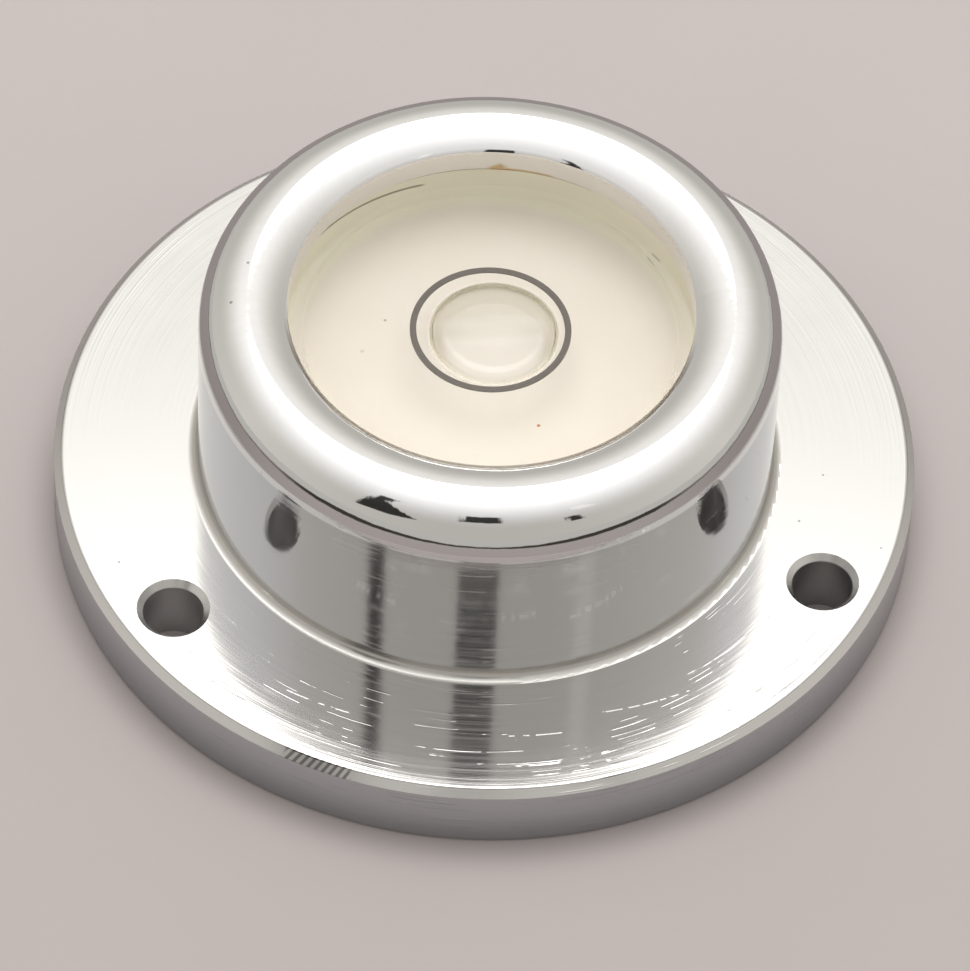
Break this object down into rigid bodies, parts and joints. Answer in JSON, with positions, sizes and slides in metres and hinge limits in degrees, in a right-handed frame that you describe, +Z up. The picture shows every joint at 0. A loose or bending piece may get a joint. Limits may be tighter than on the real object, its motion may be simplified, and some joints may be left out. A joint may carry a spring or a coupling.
{
  "type": "bullseye level",
  "caption": "Round surface-mounted spirit level: a glass vial with a bubble and a ring, set in a bright turned housing with a rounded rim and a screw flange.",
  "frame": {"origin": "centre of the flange's underside", "axes": "+Z up along the housing's axis, +X to the right; the first screw hole lies on +Y"},
  "size_m": [0.0572, 0.0572, 0.0206],
  "materials": {
    "bright_metal": "turned and polished bright",
    "lens_glass": "polished",
    "cup_glass": "moulded, clear, slightly yellow-green",
    "spirit": "clear liquid",
    "ring_paint": "fired paint",
    "cement": "brown sealing cement",
    "plaster": "cream setting plaster, unglazed"
  },
  "bodies": {
    "root": {"housing": "bright_metal", "sight_lens": "lens_glass", "vial_cup": "cup_glass", "spirit": "spirit", "index_ring": "ring_paint", "sealing_bead": "cement", "setting_plaster": "plaster"}
  },
  "joints": []
}
